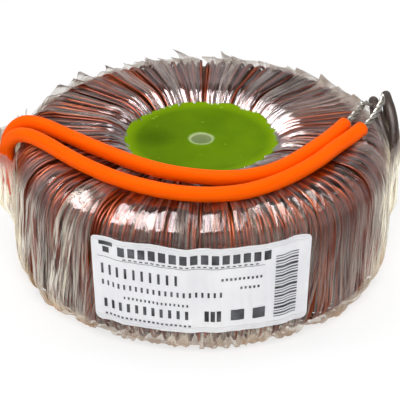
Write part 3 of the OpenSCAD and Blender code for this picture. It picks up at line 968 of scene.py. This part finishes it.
def potting_resin():
    """The resin as a profile turned round the axis: up the hole, over its rounded edge, across a top that
    sags a little and climbs the film at its rim, and down the film to the base. The top carries slow
    ripples, and the rim's height wanders."""
    turn = np.linspace(math.pi, math.pi / 2, 6)
    hole_r = np.concatenate([[HOLE_R, HOLE_R], HOLE_R + HOLE_EDGE * (1 + np.cos(turn))])
    hole_z = np.concatenate([[0, RESIN_TOP - 2 * HOLE_EDGE], RESIN_TOP + HOLE_EDGE * (np.sin(turn) - 1)])
    top_r = np.linspace(HOLE_R + 2 * HOLE_EDGE, RESIN_R, 40)
    share = (top_r - HOLE_R) / (RESIN_R - HOLE_R)
    top_z = RESIN_TOP - RESIN_SAG * np.sin(math.pi * share) ** 2 + RESIN_CLIMB * share**14
    side_r, side_z = np.array(RESIN_SIDE).T
    r = np.concatenate([hole_r, top_r, side_r])[:, None]
    z = np.concatenate([hole_z, top_z, side_z])[:, None]
    angle = (np.arange(RESIN_STEPS) * TAU / RESIN_STEPS)[None]
    on_top = (z > RESIN_TOP - 0.5 * MM) & (r > HOLE_R + HOLE_EDGE)
    ripple = 0.10 * MM * waves(angle, 51, 4) * np.sin(r / RESIN_R * 5) * on_top
    rim = 0.30 * MM * waves(angle * 3, 52, 5) * smooth_step(r, 20.5 * MM, RESIN_R) * on_top
    faces = grid_faces(len(r), RESIN_STEPS, close_rows=True, close_columns=True)
    piece = make_mesh("potting_resin", round_axis(angle, r, z + ripple + rim), faces, RESIN)
    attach(piece, BODY)
    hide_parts("potting")


potting_resin()

# ---------------------------------------------------------------- label

LABEL_BOTTOM = label_low[2]
LABEL_H = label_high[2] - label_low[2]
LABEL_CORNER = 1.8 * MM
LABEL_R = WALL_R + 0.75 * MM
LABEL_FOOT = 7.75 * MM
LABEL_W = 2 * LABEL_R * math.asin(label_high[0] / WALL_R)
LABEL_COLUMNS = 181
PRINT_LIFT = 0.07 * MM


def label_point(s, t, lift=0.0):
    """The label's surface at s along it from its middle and t up from its lower edge. It follows the
    wall and the curve of its foot, with soft upright folds where the laps beneath end."""
    angle = FRONT + s / LABEL_R * (0.97 + 0.03 * t / LABEL_H)
    height = LABEL_BOTTOM + t
    below = np.maximum(LABEL_FOOT - height, 0)
    foot = LABEL_FOOT - np.sqrt(LABEL_FOOT**2 - below**2)
    phase = s / LABEL_R * 13 + 0.25 * np.sin(t / LABEL_H * 3)
    folds = 0.20 * MM * waves(phase, 61, 4) + 0.05 * MM * waves(phase * 3 + t / LABEL_H, 62, 4)
    radius = LABEL_R + folds + lift - foot
    height = height + 0.25 * MM * waves(phase * 0.7, 63, 3) * smooth_step(t, 0.6 * LABEL_H, LABEL_H)
    return round_axis(angle, radius, height)


def label_sheet():
    """A rounded rectangle of paper: each row of the grid is narrowed where it crosses the corners."""
    corner = np.linspace(0, LABEL_CORNER, 8)
    t = np.sort(np.concatenate([np.linspace(0, LABEL_H, 71), corner, LABEL_H - corner]))
    into = np.clip(np.maximum(LABEL_CORNER - t, t - (LABEL_H - LABEL_CORNER)), 0, LABEL_CORNER)
    half = LABEL_W / 2 - (LABEL_CORNER - np.sqrt(LABEL_CORNER**2 - into**2))
    s = np.linspace(-1, 1, LABEL_COLUMNS)[None] * half[:, None]
    piece = make_mesh("label_sheet", label_point(s, t[:, None]), grid_faces(len(t), LABEL_COLUMNS), PAPER)
    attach(piece, BODY)
    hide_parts("label")


def label_bars():
    """The print as plain bars: each is a strip from s0 to s1 along the label and t0 to t1 up it, in
    millimetres from its lower left corner."""
    parts = []
    for s0, s1, t0, t1 in LABEL_PRINT:
        columns = max(2, int((s1 - s0) / 0.6) + 1)
        s = (np.linspace(s0, s1, columns) * MM - LABEL_W / 2)[None]
        t = np.linspace(t0, t1, 3)[:, None] * MM
        parts.append((label_point(s, t, PRINT_LIFT).reshape(-1, 3), grid_faces(3, columns)))
    piece = make_mesh("label_print", *joined(parts), INK)
    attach(piece, BODY)


# Rows of print, from the top: lower and upper edge, where the row starts and ends, and the width of its
# bars and of the gaps between them.
PRINT_ROWS = [
    (24.3, 25.5, 2.4, 6.6, 4.2, 1.0), (22.0, 23.8, 3.4, 5.4, 2.0, 1.0), (21.9, 24.8, 8.2, 51.0, 2.0, 0.9),
    (20.45, 20.58, 1.8, 49.0, 47.2, 1.0), (20.9, 21.25, 9.6, 47.6, 0.9, 0.7),
    (15.0, 18.2, 2.6, 27.0, 0.7, 1.7), (16.5, 17.3, 37.0, 48.4, 0.6, 0.6), (13.5, 14.3, 42.3, 48.3, 0.6, 0.6),
    (11.4, 13.0, 2.6, 37.2, 0.6, 1.1), (8.4, 9.2, 9.4, 29.0, 0.5, 0.7),
    (4.3, 7.0, 3.0, 30.0, 0.9, 1.5), (3.6, 7.0, 32.4, 37.0, 1.2, 0.5), (3.6, 7.0, 39.8, 43.6, 3.8, 1.0),
    (3.6, 7.0, 46.0, 49.6, 3.6, 1.0), (1.9, 2.5, 3.2, 28.8, 0.7, 0.6)]
STRIPE_FROM, STRIPE_TO = 52.2, 59.2
STRIPE_WIDTHS = (0.25, 0.5, 0.25, 0.75, 0.5, 0.25, 0.25, 0.6, 0.4, 0.25, 0.75, 0.25, 0.5, 0.25, 0.6, 0.25,
                 0.4, 0.75, 0.25, 0.5, 0.25, 0.25)
STRIPE_GAP = 0.5
STRIPES_BOTTOM = 3.0

LABEL_PRINT = [(start, start + width, low, high)
               for low, high, first, last, width, gap in PRINT_ROWS
               for start in np.arange(first, last - 0.9 * width, width + gap)]
stripe_height = STRIPES_BOTTOM
for stripe_width in STRIPE_WIDTHS:
    LABEL_PRINT.append((STRIPE_FROM, STRIPE_TO, stripe_height, stripe_height + stripe_width))
    stripe_height += stripe_width + STRIPE_GAP

label_sheet()
label_bars()

# ---------------------------------------------------------------- finish of the carried-over nodes

FINISHES = {
    "core": STEEL, "core_end_ring_top": BOARD, "core_end_ring_bottom": BOARD, "core_wrap": TAPE,
    "primary_winding": FINE_COPPER, "winding_barrier": TAPE, "primary_tip_1": TINNED,
    "primary_tip_2": TINNED}
for node, material in FINISHES.items():
    shown = frame["nodes"][node]
    for slot in shown.material_slots:
        slot.material = material
